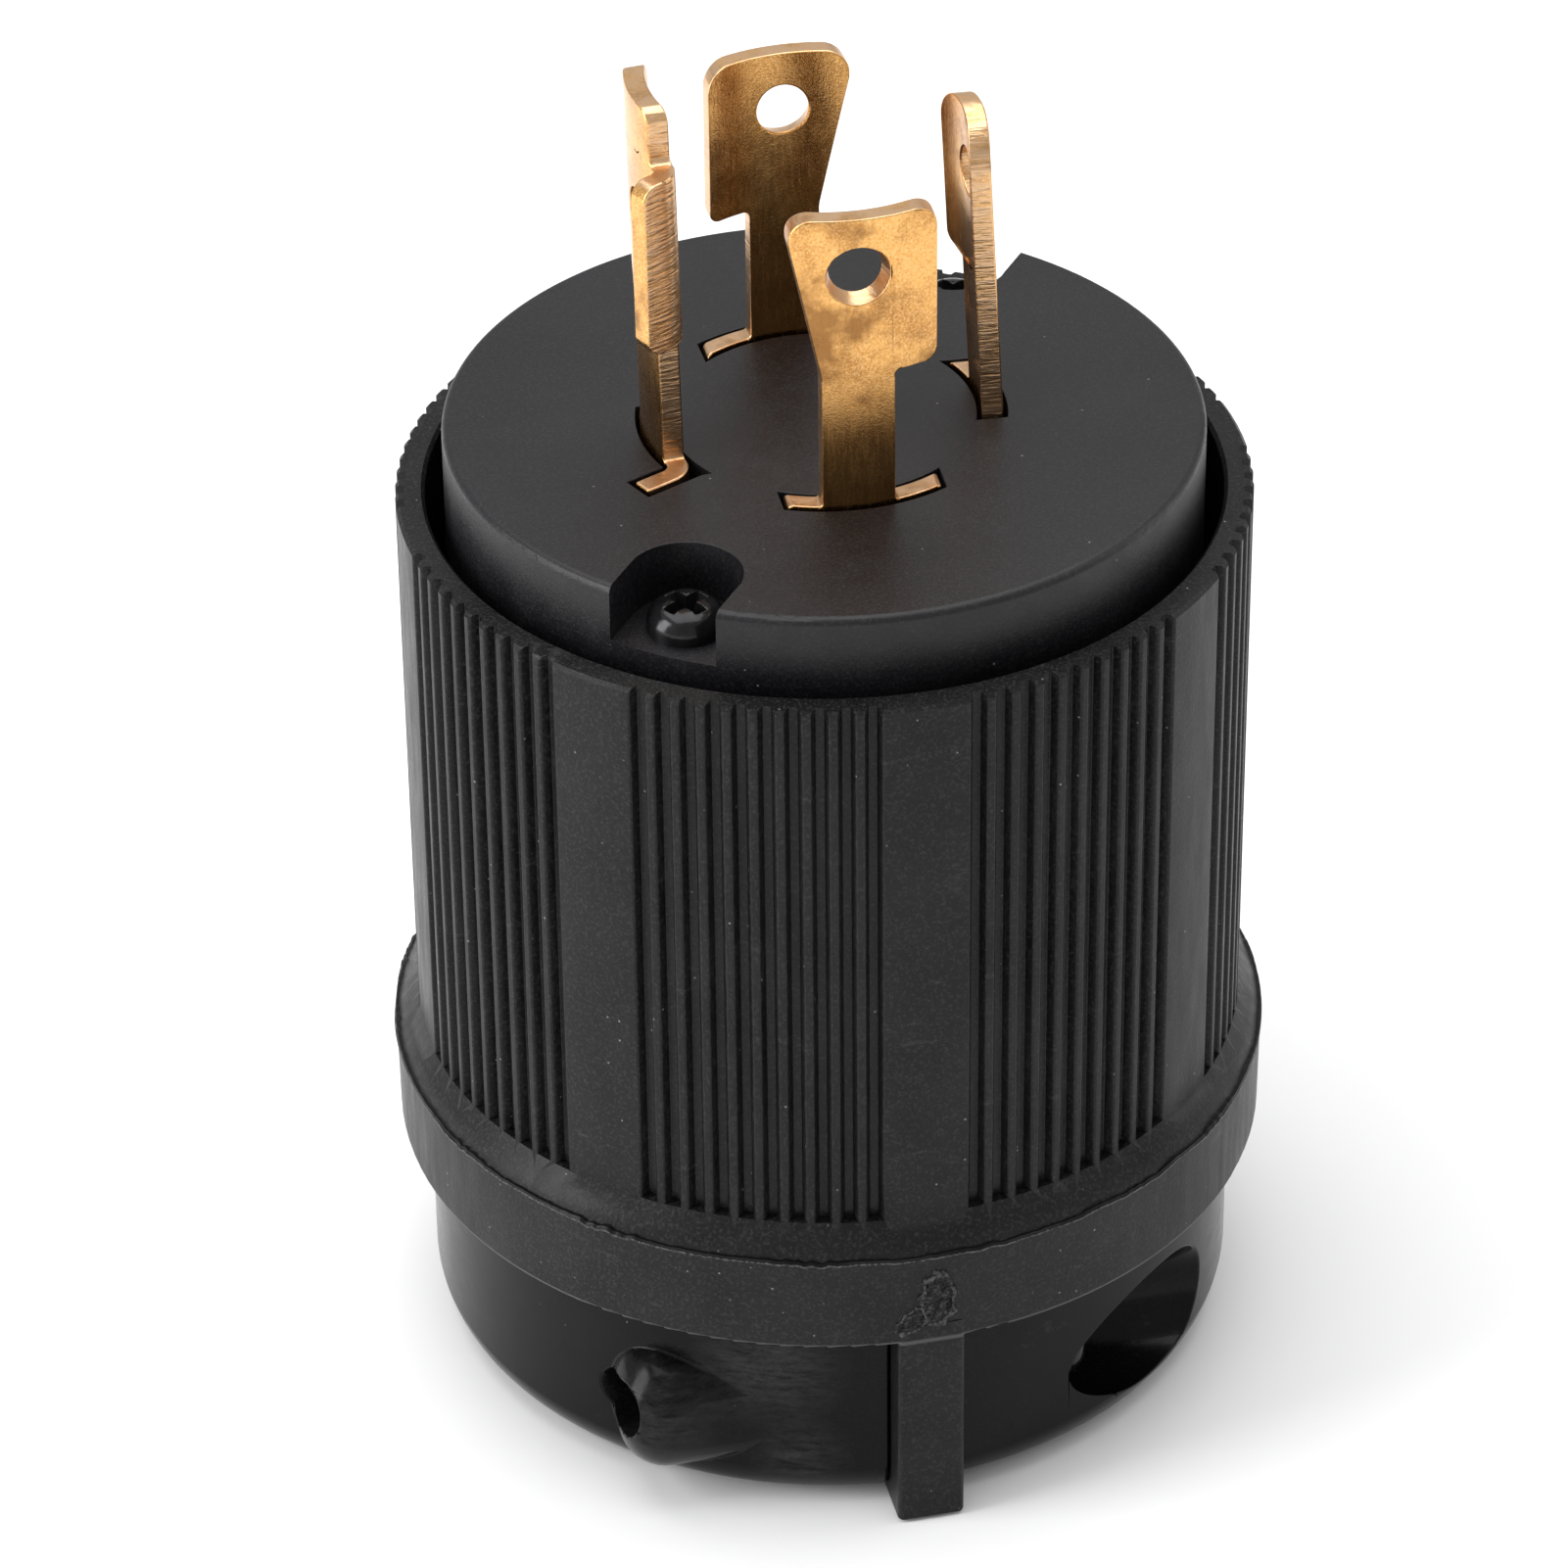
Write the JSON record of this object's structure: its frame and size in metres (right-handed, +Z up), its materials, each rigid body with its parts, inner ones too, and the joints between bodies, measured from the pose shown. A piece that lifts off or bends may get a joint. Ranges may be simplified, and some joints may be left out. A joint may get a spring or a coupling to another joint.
{
  "type": "locking plug",
  "caption": "Twist-locking cord plug with curved brass blades, a ribbed grip sleeve and a screw cord clamp in its rear housing.",
  "frame": {"origin": "centre of the flat rear end, on the plug's axis", "axes": "+Z up the axis towards the blades, -Y towards the locating tab, +X towards the clamp screws' heads"},
  "size_m": [0.0612, 0.0612, 0.0981],
  "materials": {
    "sleeve_black": "matte, fine grain",
    "core_black": "matte",
    "retainer_black": "matte",
    "housing_black": "semi-gloss",
    "blade_brass": "brushed, stamped edges",
    "terminal_brass": "plain",
    "screw_black": "black, glossy",
    "nut_steel": "plain"
  },
  "bodies": {
    "root": {"ribbed_sleeve": "sleeve_black", "blade_carrier": "core_black", "blade_retainer": "retainer_black", "rear_housing": "housing_black", "blade_line_x": "blade_brass", "blade_line_y": "blade_brass", "blade_neutral": "blade_brass", "blade_ground": "blade_brass", "terminal_screw_line_x": "terminal_brass", "terminal_screw_line_y": "terminal_brass", "terminal_screw_neutral": "terminal_brass", "terminal_screw_ground": "terminal_brass", "pressure_plate_line_x": "terminal_brass", "pressure_plate_line_y": "terminal_brass", "pressure_plate_neutral": "terminal_brass", "pressure_plate_ground": "terminal_brass", "assembly_screw_front": "screw_black", "assembly_screw_back": "screw_black", "threaded_insert_front": "terminal_brass", "threaded_insert_back": "terminal_brass", "clamp_jaw_head_side": "housing_black", "clamp_jaw_nut_side": "housing_black", "clamp_screw_front": "screw_black", "clamp_screw_back": "screw_black", "clamp_nut_front": "nut_steel", "clamp_nut_back": "nut_steel"}
  },
  "joints": []
}
